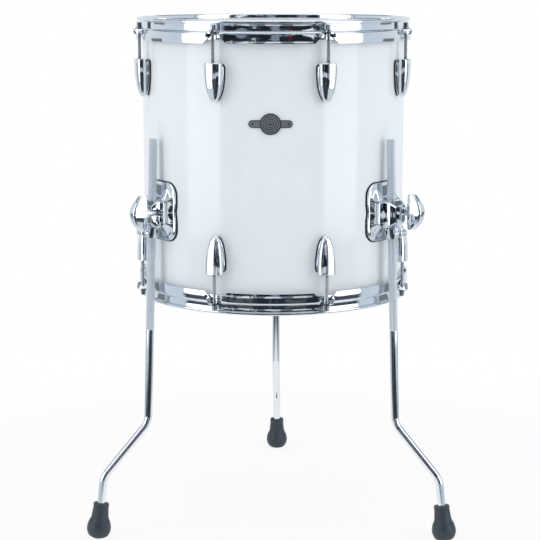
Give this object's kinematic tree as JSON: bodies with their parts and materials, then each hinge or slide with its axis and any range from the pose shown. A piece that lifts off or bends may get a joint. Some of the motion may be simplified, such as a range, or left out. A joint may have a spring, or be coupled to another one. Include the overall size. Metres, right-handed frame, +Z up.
{
  "type": "floor tom",
  "caption": "Floor tom drum: glossy white shell, chromed hoops, bullet lugs and square-headed tension rods, on bent legs held in clamp brackets with memory locks and rubber feet.",
  "frame": {"origin": "on the floor, under the middle of the whole object's box", "axes": "+Z up; -Y towards the front with the badge; +X to the right seen from the front"},
  "size_m": [0.5662, 0.5452, 0.787],
  "materials": {
    "white_lacquer": "wooden ply shell, gloss white outside, clear-sealed inside",
    "drum_film": "polyester film, lightly coated, in an aluminium flesh hoop",
    "hoop_chrome": "mirror-bright chromed pressed steel",
    "casting_chrome": "mirror-bright chromed die casting",
    "rod_steel": "chromed steel rod, thread cut on its end",
    "leg_steel": "chromed steel, knurled above and polished below",
    "badge_metal": "gunmetal plate with turned rings",
    "foot_rubber": "moulded dark rubber, satin"
  },
  "bodies": {
    "root": {"shell": "white_lacquer", "batter_head": "drum_film", "resonant_head": "drum_film", "batter_hoop": "hoop_chrome", "resonant_hoop": "hoop_chrome", "badge": "badge_metal", "upper_lug_1": "casting_chrome", "upper_lug_2": "casting_chrome", "upper_lug_3": "casting_chrome", "upper_lug_4": "casting_chrome", "upper_lug_5": "casting_chrome", "upper_lug_6": "casting_chrome", "upper_lug_7": "casting_chrome", "upper_lug_8": "casting_chrome", "lower_lug_1": "casting_chrome", "lower_lug_2": "casting_chrome", "lower_lug_3": "casting_chrome", "lower_lug_4": "casting_chrome", "lower_lug_5": "casting_chrome", "lower_lug_6": "casting_chrome", "lower_lug_7": "casting_chrome", "lower_lug_8": "casting_chrome", "left_bracket_base": "casting_chrome", "right_bracket_base": "casting_chrome", "back_bracket_base": "casting_chrome"},
    "upper_tension_rod_1": {"upper_tension_rod_1": "rod_steel"},
    "upper_tension_rod_2": {"upper_tension_rod_2": "rod_steel"},
    "upper_tension_rod_3": {"upper_tension_rod_3": "rod_steel"},
    "upper_tension_rod_4": {"upper_tension_rod_4": "rod_steel"},
    "upper_tension_rod_5": {"upper_tension_rod_5": "rod_steel"},
    "upper_tension_rod_6": {"upper_tension_rod_6": "rod_steel"},
    "upper_tension_rod_7": {"upper_tension_rod_7": "rod_steel"},
    "upper_tension_rod_8": {"upper_tension_rod_8": "rod_steel"},
    "lower_tension_rod_1": {"lower_tension_rod_1": "rod_steel"},
    "lower_tension_rod_2": {"lower_tension_rod_2": "rod_steel"},
    "lower_tension_rod_3": {"lower_tension_rod_3": "rod_steel"},
    "lower_tension_rod_4": {"lower_tension_rod_4": "rod_steel"},
    "lower_tension_rod_5": {"lower_tension_rod_5": "rod_steel"},
    "lower_tension_rod_6": {"lower_tension_rod_6": "rod_steel"},
    "lower_tension_rod_7": {"lower_tension_rod_7": "rod_steel"},
    "lower_tension_rod_8": {"lower_tension_rod_8": "rod_steel"},
    "left_t_bolt": {"left_t_bolt": "casting_chrome"},
    "left_clamp_jaw": {"left_clamp_jaw": "casting_chrome"},
    "left_memory_lock": {"left_memory_lock": "casting_chrome"},
    "left_lock_screw": {"left_lock_screw": "casting_chrome"},
    "left_leg": {"left_leg": "leg_steel", "left_foot": "foot_rubber"},
    "right_t_bolt": {"right_t_bolt": "casting_chrome"},
    "right_clamp_jaw": {"right_clamp_jaw": "casting_chrome"},
    "right_memory_lock": {"right_memory_lock": "casting_chrome"},
    "right_lock_screw": {"right_lock_screw": "casting_chrome"},
    "right_leg": {"right_leg": "leg_steel", "right_foot": "foot_rubber"},
    "back_t_bolt": {"back_t_bolt": "casting_chrome"},
    "back_clamp_jaw": {"back_clamp_jaw": "casting_chrome"},
    "back_memory_lock": {"back_memory_lock": "casting_chrome"},
    "back_lock_screw": {"back_lock_screw": "casting_chrome"},
    "back_leg": {"back_leg": "leg_steel", "back_foot": "foot_rubber"}
  },
  "joints": [
    {"name": "upper_tension_rod_1_turn", "type": "hinge", "parent": "root", "child": "upper_tension_rod_1", "pos_m": [0.08285, -0.25994, 0.747], "axis": [0, 0, 1], "continuous": true},
    {"name": "upper_tension_rod_2_turn", "type": "hinge", "parent": "root", "child": "upper_tension_rod_2", "pos_m": [0.20002, -0.14277, 0.747], "axis": [0, 0, 1], "continuous": true},
    {"name": "upper_tension_rod_3_turn", "type": "hinge", "parent": "root", "child": "upper_tension_rod_3", "pos_m": [0.20002, 0.02293, 0.747], "axis": [0, 0, 1], "continuous": true},
    {"name": "upper_tension_rod_4_turn", "type": "hinge", "parent": "root", "child": "upper_tension_rod_4", "pos_m": [0.08285, 0.1401, 0.747], "axis": [0, 0, 1], "continuous": true},
    {"name": "upper_tension_rod_5_turn", "type": "hinge", "parent": "root", "child": "upper_tension_rod_5", "pos_m": [-0.08285, 0.1401, 0.747], "axis": [0, 0, 1], "continuous": true},
    {"name": "upper_tension_rod_6_turn", "type": "hinge", "parent": "root", "child": "upper_tension_rod_6", "pos_m": [-0.20002, 0.02293, 0.747], "axis": [0, 0, 1], "continuous": true},
    {"name": "upper_tension_rod_7_turn", "type": "hinge", "parent": "root", "child": "upper_tension_rod_7", "pos_m": [-0.20002, -0.14277, 0.747], "axis": [0, 0, 1], "continuous": true},
    {"name": "upper_tension_rod_8_turn", "type": "hinge", "parent": "root", "child": "upper_tension_rod_8", "pos_m": [-0.08285, -0.25994, 0.747], "axis": [0, 0, 1], "continuous": true},
    {"name": "lower_tension_rod_1_turn", "type": "hinge", "parent": "root", "child": "lower_tension_rod_1", "pos_m": [0.08285, -0.25994, 0.398], "axis": [0, 0, 1], "continuous": true},
    {"name": "lower_tension_rod_2_turn", "type": "hinge", "parent": "root", "child": "lower_tension_rod_2", "pos_m": [0.20002, -0.14277, 0.398], "axis": [0, 0, 1], "continuous": true},
    {"name": "lower_tension_rod_3_turn", "type": "hinge", "parent": "root", "child": "lower_tension_rod_3", "pos_m": [0.20002, 0.02293, 0.398], "axis": [0, 0, 1], "continuous": true},
    {"name": "lower_tension_rod_4_turn", "type": "hinge", "parent": "root", "child": "lower_tension_rod_4", "pos_m": [0.08285, 0.1401, 0.398], "axis": [0, 0, 1], "continuous": true},
    {"name": "lower_tension_rod_5_turn", "type": "hinge", "parent": "root", "child": "lower_tension_rod_5", "pos_m": [-0.08285, 0.1401, 0.398], "axis": [0, 0, 1], "continuous": true},
    {"name": "lower_tension_rod_6_turn", "type": "hinge", "parent": "root", "child": "lower_tension_rod_6", "pos_m": [-0.20002, 0.02293, 0.398], "axis": [0, 0, 1], "continuous": true},
    {"name": "lower_tension_rod_7_turn", "type": "hinge", "parent": "root", "child": "lower_tension_rod_7", "pos_m": [-0.20002, -0.14277, 0.398], "axis": [0, 0, 1], "continuous": true},
    {"name": "lower_tension_rod_8_turn", "type": "hinge", "parent": "root", "child": "lower_tension_rod_8", "pos_m": [-0.08285, -0.25994, 0.398], "axis": [0, 0, 1], "continuous": true},
    {"name": "left_t_bolt_turn", "type": "hinge", "parent": "root", "child": "left_t_bolt", "pos_m": [-0.18732, -0.21135, 0.501], "axis": [-0.8192, -0.5736, 0], "range_deg": [0, 720]},
    {"name": "left_clamp_jaw_open", "type": "hinge", "parent": "root", "child": "left_clamp_jaw", "pos_m": [-0.18897, -0.16453, 0.498], "axis": [0, 0, -1], "range_deg": [0, 3]},
    {"name": "left_memory_lock_slide", "type": "slide", "parent": "root", "child": "left_memory_lock", "axis": [0.0289, 0.0202, 0.9994], "range_m": [-0.062, 0]},
    {"name": "left_leg_turn", "type": "hinge", "parent": "left_memory_lock", "child": "left_leg", "pos_m": [-0.1813, -0.18686, 0.46907], "axis": [0.0289, 0.0202, 0.9994], "continuous": true},
    {"name": "left_lock_screw_turn", "type": "hinge", "parent": "left_memory_lock", "child": "left_lock_screw", "pos_m": [-0.1813, -0.18686, 0.46907], "axis": [-0.8186, -0.5732, 0.0352], "continuous": true},
    {"name": "right_t_bolt_turn", "type": "hinge", "parent": "root", "child": "right_t_bolt", "pos_m": [0.20636, -0.18415, 0.501], "axis": [0.8192, -0.5736, 0], "range_deg": [0, 720]},
    {"name": "right_clamp_jaw_open", "type": "hinge", "parent": "root", "child": "right_clamp_jaw", "pos_m": [0.16293, -0.20172, 0.498], "axis": [0, 0, -1], "range_deg": [0, 3]},
    {"name": "right_memory_lock_slide", "type": "slide", "parent": "root", "child": "right_memory_lock", "axis": [-0.0289, 0.0202, 0.9994], "range_m": [-0.062, 0]},
    {"name": "right_leg_turn", "type": "hinge", "parent": "right_memory_lock", "child": "right_leg", "pos_m": [0.1813, -0.18686, 0.46907], "axis": [-0.0289, 0.0202, 0.9994], "continuous": true},
    {"name": "right_lock_screw_turn", "type": "hinge", "parent": "right_memory_lock", "child": "right_lock_screw", "pos_m": [0.1813, -0.18686, 0.46907], "axis": [0.8186, -0.5732, 0.0352], "continuous": true},
    {"name": "back_t_bolt_turn", "type": "hinge", "parent": "root", "child": "back_t_bolt", "pos_m": [-0.0166, 0.18038, 0.501], "axis": [0, 1, 0], "range_deg": [0, 720]},
    {"name": "back_clamp_jaw_open", "type": "hinge", "parent": "root", "child": "back_clamp_jaw", "pos_m": [0.0227, 0.15488, 0.498], "axis": [0, 0, -1], "range_deg": [0, 3]},
    {"name": "back_memory_lock_slide", "type": "slide", "parent": "root", "child": "back_memory_lock", "axis": [0, -0.0352, 0.9994], "range_m": [-0.062, 0]},
    {"name": "back_leg_turn", "type": "hinge", "parent": "back_memory_lock", "child": "back_leg", "pos_m": [0, 0.1614, 0.46907], "axis": [0, -0.0352, 0.9994], "continuous": true},
    {"name": "back_lock_screw_turn", "type": "hinge", "parent": "back_memory_lock", "child": "back_lock_screw", "pos_m": [0, 0.1614, 0.46907], "axis": [0, 0.9994, 0.0352], "continuous": true}
  ],
  "couplings": [
    {"joint": "left_clamp_jaw_open", "follows": "left_t_bolt_turn", "ratio": 0.0041667},
    {"joint": "right_clamp_jaw_open", "follows": "right_t_bolt_turn", "ratio": 0.0041667},
    {"joint": "back_clamp_jaw_open", "follows": "back_t_bolt_turn", "ratio": 0.0041667}
  ]
}
